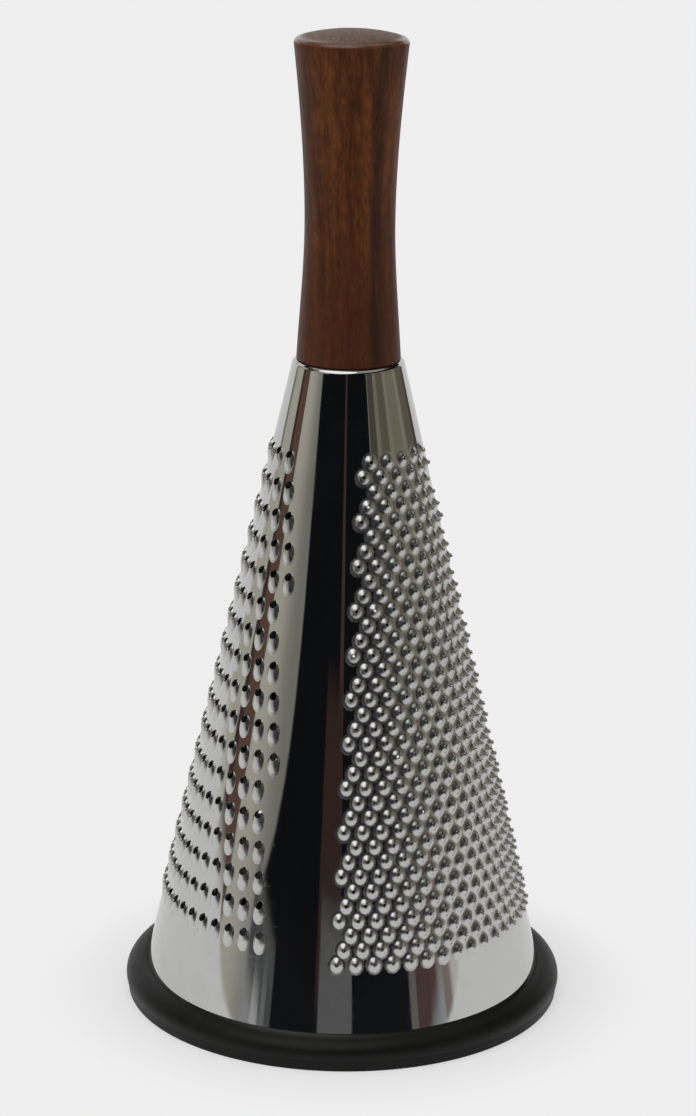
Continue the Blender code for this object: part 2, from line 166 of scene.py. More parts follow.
def remap(tree, value, fromLow, fromHigh, toLow=0.0, toHigh=1.0, smooth=False):
    return addNode(tree, "ShaderNodeMapRange",
                   {"Value": value, "From Min": fromLow, "From Max": fromHigh,
                    "To Min": toLow, "To Max": toHigh},
                   interpolation_type="SMOOTHSTEP" if smooth else "LINEAR").outputs[0]


def noise(tree, position, scale, detail, roughness=0.5, distortion=0.0):
    return addNode(tree, "ShaderNodeTexNoise",
                   {"Vector": position, "Scale": scale, "Detail": detail, "Roughness": roughness,
                    "Distortion": distortion}).outputs[0]


def stretched(tree, position, scale):
    return addNode(tree, "ShaderNodeMapping", {"Vector": position, "Scale": scale}).outputs[0]


def objectPlace(tree):
    return addNode(tree, "ShaderNodeTexCoord").outputs["Object"]


def splitAxes(tree, vector):
    return addNode(tree, "ShaderNodeSeparateXYZ", {"Vector": vector}).outputs


def frontAngle(tree, part):
    return calc(tree, "ARCTAN2", part["X"], times(tree, part["Y"], -1.0))


def newGroup(name, kind, inputs, outputs):
    tree = bpy.data.node_groups.new(name, kind)
    for side, sockets in (("INPUT", inputs), ("OUTPUT", outputs)):
        for label, sort in sockets.items():
            tree.interface.new_socket(name=label, in_out=side, socket_type="NodeSocket" + sort)
    return tree, tree.nodes.new("NodeGroupInput").outputs, tree.nodes.new("NodeGroupOutput").inputs


def useGroup(tree, group, inputs):
    return addNode(tree, tree.bl_idname.replace("Tree", "Group"), inputs, node_tree=group)


def floats(names):
    return dict.fromkeys(names, "Float")


def bakeTree(name, tree, values, baseMesh=None):
    # runs a geometry tree once and keeps its result as a plain mesh
    carrier = addObject(name + "Carrier", baseMesh or bpy.data.meshes.new(name + "Base"))
    grow = carrier.modifiers.new(name, "NODES")
    grow.node_group = tree
    for socket in tree.interface.items_tree:
        if socket.item_type == "SOCKET" and socket.in_out == "INPUT" and socket.name in values:
            grow[socket.identifier] = values[socket.name]
    graph = bpy.context.evaluated_depsgraph_get()
    mesh = bpy.data.meshes.new_from_object(carrier.evaluated_get(graph), depsgraph=graph)
    mesh.name = name
    carrier.modifiers.remove(grow)
    bpy.data.objects.remove(carrier, do_unlink=True)
    return addObject(name, mesh)


# Effects that several materials share.

wear = {
    # turn of each set of scratches, and how far the noise is drawn out along them
    "scratchSets": ((0.5, (1.0, 1.0, 0.04)), (1.3, (0.05, 1.0, 1.0)), (2.4, (1.0, 0.06, 1.0))),
    "scratchTilt": (1.0, 0.6, 1.7),
    "scratchNoise": (2.0, 0.6),          # detail, roughness
    "scratchEdge": (0.66, 0.70),
    "smudgeNoise": (4.0, 0.65, 0.8),     # detail, roughness, distortion
    "smudgeEdge": (0.45, 0.75),
    "seedOffset": 0.37,
    "speckEdge": (0.10, 0.06),
}


def makeHandlingMarks():
    # fine scratches and soft finger smudges
    tree, given, made = newGroup("handlingMarks", "ShaderNodeTree",
                                 floats(("Scratch Scale", "Smudge Scale", "Seed")),
                                 floats(("Scratches", "Smudges")))
    shift = addNode(tree, "ShaderNodeCombineXYZ", {"X": given["Seed"], "Y": wear["seedOffset"]})
    spot = vectorCalc(tree, "ADD", objectPlace(tree), shift.outputs[0])
    lines = []
    for turn, stretch in wear["scratchSets"]:
        turned = addNode(tree, "ShaderNodeMapping",
                         {"Vector": spot, "Scale": stretch,
                          "Rotation": [turn * share for share in wear["scratchTilt"]]}).outputs[0]
        streaks = noise(tree, turned, given["Scratch Scale"], *wear["scratchNoise"])
        lines.append(remap(tree, streaks, *wear["scratchEdge"]))
    scratches = calc(tree, "MAXIMUM", calc(tree, "MAXIMUM", lines[0], lines[1]), lines[2])
    patches = noise(tree, spot, given["Smudge Scale"], *wear["smudgeNoise"])
    tree.links.new(scratches, made["Scratches"])
    tree.links.new(remap(tree, patches, *wear["smudgeEdge"], smooth=True), made["Smudges"])
    return tree


def makeDust():
    # sparse pale specks
    tree, given, made = newGroup("dust", "ShaderNodeTree", floats(("Scale", "Amount")),
                                 floats(("Mask",)))
    cells = addNode(tree, "ShaderNodeTexVoronoi",
                    {"Vector": objectPlace(tree), "Scale": given["Scale"]}).outputs
    dot = remap(tree, cells["Distance"], *wear["speckEdge"])
    pick = addNode(tree, "ShaderNodeSeparateColor", {"Color": cells["Color"]}).outputs[0]
    kept = calc(tree, "LESS_THAN", pick, given["Amount"])
    tree.links.new(times(tree, dot, kept), made["Mask"])
    return tree


handlingMarks = makeHandlingMarks()
dust = makeDust()


def newMaterial(name, sockets):
    material = bpy.data.materials.new(name)
    material.use_nodes = True
    shader = material.node_tree.nodes["Principled BSDF"]
    for label, value in sockets.items():
        shader.inputs[label].default_value = value
    return material, material.node_tree, shader.inputs


def addMarks(tree, values):
    return useGroup(tree, handlingMarks,
                    {"Scratch Scale": values["scratchScale"], "Smudge Scale": values["smudgeScale"],
                     "Seed": values["seed"]}).outputs


def addDust(tree, values, tone):
    specks = useGroup(tree, dust, {"Scale": values["dustScale"], "Amount": values["dustAmount"]})
    return mixColour(tree, times(tree, specks.outputs[0], values["dustShare"]),
                     tone, values["dustColour"])


def addBump(tree, shader, height, distance, strength=1.0):
    bump = addNode(tree, "ShaderNodeBump",
                   {"Height": height, "Distance": distance, "Strength": strength})
    tree.links.new(bump.outputs[0], shader["Normal"])


def metalMaterial(name, values):
    material, tree, shader = newMaterial(name, {"Metallic": 1.0})
    marks = addMarks(tree, values)
    smudge = times(tree, marks["Smudges"], values["smudgeRoughness"])
    scratch = times(tree, marks["Scratches"], values["scratchRoughness"])
    rough = plus(tree, plus(tree, smudge, scratch), values["roughness"])
    tree.links.new(rough, shader["Roughness"])
    tone = mixColour(tree, marks["Smudges"], values["colour"], values["smudgeColour"])
    tree.links.new(tone, shader["Base Color"])
    ripple = noise(tree, objectPlace(tree), values["rippleScale"], values["rippleDetail"])
    addBump(tree, shader, ripple, values["rippleDepth"])
    return material


mirrorSteel = {
    "colour": (0.63, 0.63, 0.62),
    "smudgeColour": (0.585, 0.583, 0.568),
    "roughness": 0.025,
    "smudgeRoughness": 0.035,
    "scratchRoughness": 0.03,
    "scratchScale": 420.0,
    "smudgeScale": 38.0,
    "rippleScale": 55.0,
    "rippleDetail": 2.0,
    "rippleDepth": 0.00001,
    "seed": 0.0,
}
pressedSteel = dict(mirrorSteel, roughness=0.24, smudgeRoughness=0.05, seed=1.0)
innerSteel = dict(mirrorSteel, colour=(0.50, 0.50, 0.49), smudgeColour=(0.44, 0.44, 0.43),
                  roughness=0.16, seed=3.0)
zincPlate = dict(mirrorSteel, colour=(0.55, 0.56, 0.57), smudgeColour=(0.46, 0.46, 0.42),
                 roughness=0.26, scratchScale=900.0, smudgeScale=190.0, rippleScale=1500.0,
                 rippleDepth=0.00002, seed=5.0)
washerSteel = dict(zincPlate, colour=(0.50, 0.50, 0.50), roughness=0.33, seed=7.0)
springSteel = dict(zincPlate, colour=(0.26, 0.26, 0.27), smudgeColour=(0.17, 0.15, 0.13),
                   roughness=0.38, seed=9.0)
insertBrass = dict(zincPlate, colour=(0.72, 0.50, 0.20), smudgeColour=(0.50, 0.33, 0.13),
                   roughness=0.27, seed=11.0)

steelMaterial = metalMaterial("polishedSteel", mirrorSteel)
toothSteelMaterial = metalMaterial("pressedSteel", pressedSteel)
innerSteelMaterial = metalMaterial("insideSteel", innerSteel)


# The cone: its sheet, its holes and its raised teeth.

def makeConeSheet():
    inset = cone["shoulderRadius"] * math.tan((math.pi / 2 - coneAngle) / 2)
    centre = (cone["topRadius"] - inset, cone["topHeight"] - cone["shoulderRadius"])
    shoulder = arc(centre, cone["shoulderRadius"], cone["shoulderRadius"],
                   math.degrees(coneAngle), 90, cone["shoulderSteps"])
    wall = cone["sheet"] / math.cos(coneAngle)
    outside = evenSteps((cone["footRadius"], cone["footHeight"]), shoulder[0], cone["upright"])
    underside = cone["topHeight"] - cone["sheet"]
    innerTop = (cone["topRadius"] + cone["sheet"] * math.tan(coneAngle) - wall, underside)
    innerFoot = (cone["footRadius"] - wall, cone["footHeight"])
    plate = [(cone["screwHole"], cone["topHeight"]), (cone["screwHole"], underside)]
    inside = evenSteps(innerTop, innerFoot, cone["upright"])
    return spinProfile(outside[:-1] + shoulder + plate + inside, cone["around"])


def ellipsePoint(values, part, turn, grow=1.0):
    return (values[part + "Width"] / 2 * math.cos(turn) * grow,
            values[part + "Centre"] + values[part + "Length"] / 2 * math.sin(turn) * grow)


def bridge(shape, first, second):
    for i in range(len(first)):
        j = (i + 1) % len(first)
        shape.faces.new((first[i], first[j], second[j], second[i]))


def toothShape(values, jagTurn):
    # rings run from the tooth's foot up to its opening, then back inside to a hollow skin
    shape = bmesh.new()

    def rimHeight(turn):
        lift = (0.5 - 0.5 * math.sin(turn)) ** values["lipSpread"]
        return values["rimHeight"] + (values["lipHeight"] - values["rimHeight"]) * lift

    def skinRing(share, rise, lift, grow):
        ring = []
        for i in range(values["around"]):
            turn = math.tau * i / values["around"]
            nearX, nearY = ellipsePoint(values, "opening", turn, grow)
            farX, farY = ellipsePoint(values, "foot", turn, grow)
            farX *= 1 - values["headNarrow"] * max(0.0, math.sin(turn)) ** 2
            torn = values["jag"] * math.cos(values["jagCount"] * turn + jagTurn)
            height = values["footSink"] + (rimHeight(turn) - values["footSink"]) * rise
            ring.append(shape.verts.new((nearX + (farX - nearX) * share,
                                         nearY + (farY - nearY) * share,
                                         height + torn * rise ** values["jagFade"] + lift)))
        return ring

    rings = [skinRing(share, rise, lift, 1.0) for share, rise, lift in reversed(values["outer"])]
    rings += [skinRing(share, rise, -values["wall"], values["innerGrow"])
              for share, rise in values["inner"]]
    for first, second in zip(rings, rings[1:] + rings[:1]):
        bridge(shape, first, second)
    bmesh.ops.recalc_face_normals(shape, faces=shape.faces[:])
    return shape


def cutterShape(values):
    shape = bmesh.new()
    turns = [math.tau * (i + 0.5) / values["cutAround"] for i in range(values["cutAround"])]
    low, high = ([shape.verts.new((*ellipsePoint(values, "cut", turn), height)) for turn in turns]
                 for height in (-values["cutDepth"], values["cutDepth"]))
    shape.faces.new(low[::-1])
    shape.faces.new(high)
    bridge(shape, low, high)
    return shape


latticeSockets = {"Rows": "Int",
                  **floats(("First Row", "Row Spacing", "First Column", "Row Shift", "Pitch",
                            "Zero Angle", "Left Strip", "Right Strip", "Strip Half Width",
                            "Strip Flare"))}
coneSockets = floats(("Foot Radius", "Foot Height", "Cone Angle"))
geometrySocket = {"Geometry": "Geometry"}
latticeColumns = 80.0            # more than the longest row has
mostKinds = 3                    # of one tooth, in one field


def namedValue(tree, name):
    return addNode(tree, "GeometryNodeInputNamedAttribute", {"Name": name},
                   data_type="FLOAT").outputs[0]


def makeLattice():
    # points in rows up the slope; each keeps its own angle and slant
    tree, given, made = newGroup("toothLattice", "GeometryNodeTree",
                                 {**latticeSockets, **coneSockets}, {"Points": "Geometry"})
    count = times(tree, given["Rows"], latticeColumns)
    points = addNode(tree, "GeometryNodePoints", {"Count": count}).outputs[0]
    index = addNode(tree, "GeometryNodeInputIndex").outputs[0]
    row = calc(tree, "FLOOR", calc(tree, "DIVIDE", plus(tree, index, 0.5), latticeColumns))
    column = minus(tree, index, times(tree, row, latticeColumns))
    slant = calc(tree, "MULTIPLY_ADD", row, given["Row Spacing"], given["First Row"])
    taper = times(tree, slant, calc(tree, "SINE", given["Cone Angle"]))
    radius = minus(tree, given["Foot Radius"], taper)
    strip = calc(tree, "MULTIPLY_ADD", radius, given["Strip Flare"], given["Strip Half Width"])
    low = calc(tree, "MULTIPLY_ADD", radius, given["Left Strip"], strip)
    high = minus(tree, times(tree, radius, given["Right Strip"]), strip)
    start = calc(tree, "MULTIPLY_ADD", radius, given["Zero Angle"], given["First Column"])
    start = plus(tree, start, times(tree, row, given["Row Shift"]))
    first = calc(tree, "DIVIDE", minus(tree, low, start), given["Pitch"])
    first = calc(tree, "CEIL", first)
    along = calc(tree, "MULTIPLY_ADD", plus(tree, first, column), given["Pitch"], start)
    current = points
    for label, amount in (("toothAngle", calc(tree, "DIVIDE", along, radius)),
                          ("toothSlant", slant),
                          ("toothOutside", calc(tree, "GREATER_THAN", along, high))):
        current = addNode(tree, "GeometryNodeStoreNamedAttribute",
                          {"Geometry": current, "Name": label, "Value": amount},
                          data_type="FLOAT", domain="POINT").outputs[0]
    drop = calc(tree, "GREATER_THAN", namedValue(tree, "toothOutside"), 0.5)
    kept = addNode(tree, "GeometryNodeDeleteGeometry", {"Geometry": current, "Selection": drop},
                   domain="POINT")
    tree.links.new(kept.outputs[0], made[0])
    return tree


def makeWrap():
    # takes a tooth from its own flat place to its spot on the cone, bent round the cone's curve
    tree, given, made = newGroup("wrapOnCone", "GeometryNodeTree",
                                 {**geometrySocket, **coneSockets}, geometrySocket)
    sine = calc(tree, "SINE", given["Cone Angle"])
    cosine = calc(tree, "COSINE", given["Cone Angle"])
    slant = namedValue(tree, "toothSlant")
    place = splitAxes(tree, addNode(tree, "GeometryNodeInputPosition").outputs[0])
    rowRadius = minus(tree, given["Foot Radius"], times(tree, slant, sine))
    turn = calc(tree, "DIVIDE", place["X"], rowRadius)
    turn = plus(tree, namedValue(tree, "toothAngle"), turn)
    up = plus(tree, slant, place["Y"])
    radius = minus(tree, given["Foot Radius"], times(tree, up, sine))
    radius = plus(tree, radius, times(tree, place["Z"], cosine))
    height = calc(tree, "MULTIPLY_ADD", up, cosine, given["Foot Height"])
    height = plus(tree, height, times(tree, place["Z"], sine))
    across = times(tree, radius, calc(tree, "SINE", turn))
    depth = times(tree, times(tree, radius, -1.0), calc(tree, "COSINE", turn))
    spot = addNode(tree, "ShaderNodeCombineXYZ", {"X": across, "Y": depth, "Z": height})
    moved = addNode(tree, "GeometryNodeSetPosition",
                    {"Geometry": given["Geometry"], "Position": spot.outputs[0]})
    tree.links.new(moved.outputs[0], made[0])
    return tree


def makeTeethTree(lattice, wrap):
    tree, given, made = newGroup("pressedTeeth", "GeometryNodeTree",
                                 {**geometrySocket, "Teeth": "Collection", "Seed": "Int",
                                  "Material": "Material", **latticeSockets, **coneSockets},
                                 geometrySocket)
    points = useGroup(tree, lattice,
                      {name: given[name] for name in (*latticeSockets, *coneSockets)})
    kinds = addNode(tree, "GeometryNodeCollectionInfo",
                    {"Collection": given["Teeth"], "Separate Children": True,
                     "Reset Children": True})
    chance = addNode(tree, "FunctionNodeRandomValue",
                     {"Seed": given["Seed"], 4: 0, 5: mostKinds - 1}, data_type="INT")
    placed = addNode(tree, "GeometryNodeInstanceOnPoints",
                     {"Points": points.outputs[0], "Instance": kinds.outputs[0],
                      "Pick Instance": True, "Instance Index": chance.outputs[2]})
    real = addNode(tree, "GeometryNodeRealizeInstances", {"Geometry": placed.outputs[0]})
    bent = useGroup(tree, wrap, {"Geometry": real.outputs[0],
                                 **{name: given[name] for name in coneSockets}})
    finished = addNode(tree, "GeometryNodeSetMaterial",
                       {"Geometry": bent.outputs[0], "Material": given["Material"]})
    tree.links.new(finished.outputs[0], made[0])
    return tree


def makePerforateTree():
    tree, given, made = newGroup("perforatedSheet", "GeometryNodeTree",
                                 {**geometrySocket, "Cutters": "Object"}, geometrySocket)
    cutters = addNode(tree, "GeometryNodeObjectInfo", {"Object": given["Cutters"]})
    cut = addNode(tree, "GeometryNodeMeshBoolean",
                  {0: given["Geometry"], 1: cutters.outputs["Geometry"]},
                  operation="DIFFERENCE", solver="EXACT")
    tree.links.new(cut.outputs[0], made[0])
    return tree


strips = {
    "firstAngle": math.radians(-14.4),
    "halfWidth": 0.0068,
    "flare": 0.065,
}
zoneTurn = math.tau / 3

shredLattice = {
    "First Row": 0.02715, "Row Spacing": 0.0077, "Rows": 17,
    "First Column": -0.0220, "Row Shift": -0.00027, "Pitch": 0.00485, "Zero Angle": 0.0,
    "Left Strip": strips["firstAngle"] - zoneTurn, "Right Strip": strips["firstAngle"],
}
raspLattice = {
    "First Row": 0.02285, "Row Spacing": 0.003768, "Rows": 35,
    "First Column": -0.00139, "Row Shift": 0.001765, "Pitch": 0.0048, "Zero Angle": 0.0,
    "Left Strip": strips["firstAngle"], "Right Strip": strips["firstAngle"] + zoneTurn,
}
coarseLattice = {
    "First Row": 0.0300, "Row Spacing": 0.0160, "Rows": 8,
    "First Column": 0.0, "Row Shift": 0.0058, "Pitch": 0.0116,
    "Zero Angle": strips["firstAngle"] + zoneTurn * 1.5,
    "Left Strip": strips["firstAngle"] + zoneTurn,
    "Right Strip": strips["firstAngle"] + zoneTurn * 2,
}

# outer and inner: shares of the way out from opening to foot, with the share of the height there;
# outer adds a small lift, which makes the faint rim that the die leaves round a tooth
shredTooth = {
    "kinds": 1, "around": 14, "sharpFrom": 50,
    "openingWidth": 0.0021, "openingLength": 0.0021, "openingCentre": 0.0012,
    "footWidth": 0.0038, "footLength": 0.0064, "footCentre": -0.0009, "headNarrow": 0.0,
    "rimHeight": 0.0, "lipHeight": 0.00088, "lipSpread": 0.75,
    "jag": 0.0, "jagCount": 0, "jagFade": 6, "jagStep": 1.9,
    "footSink": -0.00010, "wall": 0.00040, "innerGrow": 0.97,
    "outer": ((0.0, 1.0, 0), (0.22, 0.92, 0), (0.48, 0.68, 0), (0.74, 0.32, 0),
              (0.87, 0.06, 0.00008), (0.95, 0.0, 0.00014), (1.03, 0.0, 0)),
    "inner": ((0.0, 1.0), (0.45, 0.74)),
    "cutAround": 12, "cutWidth": 0.0028, "cutLength": 0.0052, "cutCentre": -0.0003,
    "cutDepth": 0.0014,
}
raspTooth = dict(
    shredTooth, kinds=mostKinds, around=12,
    openingWidth=0.0010, openingLength=0.0010, openingCentre=0.0001,
    footWidth=0.0039, footLength=0.0046, footCentre=0.0, headNarrow=0.12,
    rimHeight=0.0012, lipHeight=0.0012, lipSpread=0, jag=0.00010, jagCount=3, wall=0.00030,
    outer=((0.0, 1.0, 0), (0.06, 0.84, 0), (0.0, 0.68, 0), (0.28, 0.55, 0), (0.58, 0.31, 0),
           (0.78, 0.155, 0), (0.98, 0.108, 0), (1.3, 0.070, 0)),
    inner=((-0.12, 0.88), (0.25, 0.29)),
    cutAround=8, cutWidth=0.0022, cutLength=0.0026, cutCentre=0.0)
coarseTooth = dict(
    shredTooth, around=20,
    openingWidth=0.0052, openingLength=0.0050, openingCentre=0.0014,
    footWidth=0.0086, footLength=0.0128, footCentre=-0.0018,
    rimHeight=0.0007, lipHeight=0.0023, lipSpread=0.8, wall=0.0006,
    outer=((0.0, 1.0, 0), (0.1, 1.0, 0), (0.28, 0.93, 0), (0.48, 0.72, 0), (0.7, 0.38, 0),
           (0.86, 0.12, 0), (0.93, 0.0, 0.00018), (1.0, 0.0, 0)),
    inner=((0.0, 1.0), (0.28, 0.93), (0.6, 0.55)),
    cutAround=20, cutWidth=0.0066, cutLength=0.0096, cutCentre=-0.0012)
toothSeed = 7


def gatherKinds(name, shapes, sharpFrom=None):
    # a set of shapes for the tree to pick from, outside the scene itself
    kinds = bpy.data.collections.new(name)
    for number, shape in enumerate(shapes):
        piece = makePiece(name + str(number), shape)
        if sharpFrom:
            shadeRound(piece.data, sharpFrom)
        bpy.context.scene.collection.objects.unlink(piece)
        kinds.objects.link(piece)
    return kinds


def slopeNormal(point):
    flat = math.hypot(point.x, point.y)
    return Vector((point.x / flat * math.cos(coneAngle), point.y / flat * math.cos(coneAngle),
                   math.sin(coneAngle)))


def coneNormals(mesh):
    # exact normals on the rolled sheet keep its reflections straight round the holes
    shadeRound(mesh, cone["sharpFrom"])
    straightTop = cone["topHeight"] - cone["shoulderRadius"] * (1 + math.sin(coneAngle))
    normals = [Vector(corner.vector) for corner in mesh.corner_normals]
    for face in mesh.polygons:
        facing = face.normal.dot(slopeNormal(face.center))
        if abs(facing) < cone["wallFacing"] or face.center.z > straightTop:
            continue
        side = 1 if facing > 0 else -1
        for corner in face.loop_indices:
            point = mesh.vertices[mesh.loops[corner].vertex_index].co
            normals[corner] = slopeNormal(point) * side
    mesh.normals_split_custom_set(normals)


def markInside(mesh, slot):
    # faces that look towards the axis take the duller material of the inside
    for face in mesh.polygons:
        outward = Vector((face.center.x, face.center.y, 0)).normalized()
        if face.normal.dot(outward) < cone["insideFacing"]:
            face.material_index = slot


def joinPieces(pieces, name):
    shape = bmesh.new()
    for piece in pieces:
        shape.from_mesh(piece.data)
        bpy.data.objects.remove(piece, do_unlink=True)
    return makePiece(name, shape)


def buildCone():
    teethTree = makeTeethTree(makeLattice(), makeWrap())
    perforate = makePerforateTree()
    shared = {"Strip Half Width": strips["halfWidth"], "Strip Flare": strips["flare"],
              "Foot Radius": cone["footRadius"], "Foot Height": cone["footHeight"],
              "Cone Angle": coneAngle, "Material": toothSteelMaterial, "Seed": toothSeed}
    cutters = []
    teeth = []
    for name, pattern, tooth in (("shredTeeth", shredLattice, shredTooth),
                                 ("raspPoints", raspLattice, raspTooth),
                                 ("coarseTeeth", coarseLattice, coarseTooth)):
        cutter = gatherKinds(name + "Cutter", [cutterShape(tooth)])
        cutters.append(bakeTree(name + "Cutters", teethTree,
                                {**shared, **pattern, "Teeth": cutter}))
        # the same tooth a few times, with its torn edge turned
        shapes = [toothShape(tooth, kind * tooth["jagStep"]) for kind in range(tooth["kinds"])]
        kinds = gatherKinds(name + "Shape", shapes, tooth["sharpFrom"])
        teeth.append(bakeTree(name, teethTree, {**shared, **pattern, "Teeth": kinds}))
        print(name, len(teeth[-1].data.polygons), "faces")
    allCutters = joinPieces(cutters, "allCutters")
    base = makePiece("sheetBase", makeConeSheet(), steelMaterial, innerSteelMaterial)
    sheet = bakeTree("coneSheet", perforate, {"Cutters": allCutters}, base.data)
    bpy.data.objects.remove(base, do_unlink=True)
    bpy.data.objects.remove(allCutters, do_unlink=True)
    markInside(sheet.data, 1)
    coneNormals(sheet.data)
    print("coneSheet", len(sheet.data.polygons), "faces")
    for piece in [sheet] + teeth:
        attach(piece, "root")
        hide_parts("grating_cone")


buildCone()
print("cone done")


# The rubber ring round the foot.

rubberRing = {
    "beadInset": 0.00028,        # bead centre inside the cone's foot
    "beadWidth": 0.0048,
    "beadHeight": 0.0042,
    "beadCentre": 0.0041,
    "beadFrom": -16,             # degrees above level where the bead leaves the band
    "bandOverhang": 0.00392,     # lower band outside the cone's foot
    "bandHeight": 0.0028,
    "beadSteps": 20,
    "edge": 0.0004,
    "edgeSteps": 4,
    "lipDrop": 0.00015,
    "floor": 0.0030,
    "innerInset": 0.00448,
    "innerLip": 0.0076,
    "fitGap": 0.00005,
    "around": 192,
}

rubber = {
    "colour": (0.0050, 0.0050, 0.0046),
    "smudgeColour": (0.0085, 0.0083, 0.0078),
    "roughness": 0.42,
    "smudgeRoughness": 0.10,
    "specular": 0.21,
    "scratchScale": 260.0,
    "smudgeScale": 45.0,
    "seed": 2.0,
    "dustScale": 420.0,
    "dustAmount": 0.07,
    "dustShare": 0.35,
    "dustColour": (0.16, 0.15, 0.13),
    "grainScale": 900.0,
    "grainDetail": 3.0,
    "grainDepth": 0.00003,
}


def rubberMaterial():
    material, tree, shader = newMaterial("blackRubber", {"Specular IOR Level": rubber["specular"]})
    smudges = addMarks(tree, rubber)["Smudges"]
    tone = mixColour(tree, smudges, rubber["colour"], rubber["smudgeColour"])
    tree.links.new(addDust(tree, rubber, tone), shader["Base Color"])
    rough = calc(tree, "MULTIPLY_ADD", smudges, rubber["smudgeRoughness"], rubber["roughness"])
    tree.links.new(rough, shader["Roughness"])
    grain = noise(tree, objectPlace(tree), rubber["grainScale"], rubber["grainDetail"])
    addBump(tree, shader, grain, rubber["grainDepth"])
    return material


def buildRing():
    size = rubberRing
    edge, steps = size["edge"], size["edgeSteps"]
    foot = cone["footRadius"]
    taper = math.tan(coneAngle)
    wall = cone["sheet"] / math.cos(coneAngle)
    gap = size["fitGap"] / math.cos(coneAngle)
    band = foot + size["bandOverhang"]
    lip = size["beadCentre"] + size["beadHeight"] - size["lipDrop"]
    outerFoot = foot + gap + (cone["footHeight"] - size["floor"]) * taper
    outerLip = foot + gap - (lip - cone["footHeight"]) * taper
    innerFoot = outerFoot - wall - 2 * gap
    innerLip = innerFoot - (size["innerLip"] - size["floor"]) * taper
    inner = foot - size["innerInset"] + edge
    profile = arc((band - edge, edge), edge, edge, -90, 0, steps)
    profile += [(band, size["bandHeight"])]
    profile += arc((foot - size["beadInset"], size["beadCentre"]),
                   size["beadWidth"], size["beadHeight"], size["beadFrom"], 90,
                   size["beadSteps"])
    profile += [(outerLip, lip), (outerFoot, size["floor"]), (innerFoot, size["floor"]),
                (innerLip, size["innerLip"])]
    profile += arc((inner, size["innerLip"] - edge), edge, edge, 90, 180, steps)
    profile += arc((inner, edge), edge, edge, 180, 270, steps)
    ring = makePiece("rubberRing", spinProfile(profile, size["around"]), rubberMaterial())
    shadeRound(ring.data)
    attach(ring, "root")
    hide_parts("foot_ring")


buildRing()
print("ring done")


# The turned wooden handle. Heights start at its foot.

grip = {
    "baseRadius": 0.01346,
    "waistRadius": 0.01156,
    "rimRadius": 0.01470,
    "waistHeight": 0.0351,
    "rimHeight": 0.0823,
    "edge": 0.0015,
    "edgeTurn": 72,              # degrees that the rim's edge turns before the dome begins
    "edgeSteps": 10,
    "domeSteps": (0.06, 0.12, 0.2, 0.3, 0.42, 0.55, 0.7, 0.85, 1.0),
    "domePower": 2.2,
    "baseEdge": 0.00025,
    "seat": 0.00024,             # how far the wood settles into its fitting gap
    "lowerFullness": 1.0,
    "upperFullness": 0.4,
    "socketRadius": 0.0048,
    "socketDepth": 0.0146,
    "pilotRadius": 0.0028,
    "pilotDepth": 0.0230,
    "around": 128,
    "upright": 40,
}

wood = {
    "ground": (0.066, 0.0170, 0.0033),
    "warm": (0.138, 0.0385, 0.0066),
    "dark": (0.019, 0.0085, 0.0040),
    "red": (0.060, 0.0145, 0.0043),
    # end grain colour, made paler so that it also paints the dome's sheen
    "endGrainAndSheen": (0.200, 0.128, 0.096),
    "endPore": (0.085, 0.050, 0.033),
    # paler tint of a painted highlight along the dome's edge
    "paintedEdgeHighlight": (0.230, 0.130, 0.085),
    "roughness": 0.38,
    "specular": 0.17,
    "oilRoughness": 0.16,
    "oilIndex": 1.5,
    "lean": (0.03, 0.05, 0.4),
    # patterns: stretch, scale, detail, roughness and distortion of the noise
    "broad": ((1.0, 1.0, 0.06), 330.0, 4.0, 0.60, 0.4),
    "fine": ((1.0, 1.0, 0.14), 2100.0, 3.0, 0.65, 0.3),
    "mottle": ((1.0, 1.0, 0.55), 520.0, 4.0, 0.62, 0.6),
    "patch": ((1.0, 1.0, 0.35), 70.0, 3.0, 0.60, 0.5),
    "waver": ((0.2, 0.2, 1.0), 45.0, 3.0, 0.60, 0.0),
    "rings": ((1.0, 0.45, 1.0), 1500.0, 3.0, 0.60, 0.0),
    # ramps: the pattern's low and high edge, and what they become
    "broadRamp": (0.36, 0.64),
    "mottleRamp": (0.40, 0.66, 0.0, 0.42),
    "patchRamp": (0.54, 0.74, 0.0, 0.45),
    "fineRamp": (0.46, 0.68, 0.0, 0.45),
    "ringRamp": (0.35, 0.65),
    "roughRamp": (0.3, 0.7, 0.0, 0.12),
    "redRamp": (0.040, 0.006, 0.0, 0.7),
    "streakAngle": 0.60,         # radians round from the front
    "streakWidth": 0.24,
    "streakCore": 0.05,
    "streakDepth": 0.85,
    "streakWaver": 0.30,
    "streakBreak": (0.30, 0.55, 1.0, 0.6),
    "crownFrom": -0.0010,        # the end grain starts this far from the rim's height
    "crownTo": 0.0002,
    "crownShare": 0.85,
    # a band round the dome's edge: smoother and oiled, and tinted paler as a painted highlight
    "edgeBandHeight": -0.0007,
    "edgeBandWidths": (0.0009, 0.0003),
    "paintedHighlightShare": 0.12,
    "edgePolish": 0.22,          # how much smoother the edge of the dome is,
    "edgeShine": 0.90,           # and how much oil shines there
    "poreStretch": (1.0, 1.0, 0.10),
    "poreScale": 2600.0,
    "poreEdge": (0.22, 0.08),
    "poreShare": 0.45,
    "dustScale": 260.0,
    "dustAmount": 0.03,
    "dustShare": 0.4,
    "dustColour": (0.35, 0.25, 0.18),
    "reliefShare": 0.4,
    "reliefDepth": 0.00004,
    "reliefStrength": 0.7,
}


def gripRadius(height):
    if height < grip["waistHeight"]:
        share = (grip["waistHeight"] - height) / grip["waistHeight"]
        flare, fullness = grip["baseRadius"] - grip["waistRadius"], grip["lowerFullness"]
    else:
        share = (height - grip["waistHeight"]) / (grip["rimHeight"] - grip["waistHeight"])
        flare, fullness = grip["rimRadius"] - grip["waistRadius"], grip["upperFullness"]
    return grip["waistRadius"] + flare * share ** 2 * (1 + fullness * (1 - share))


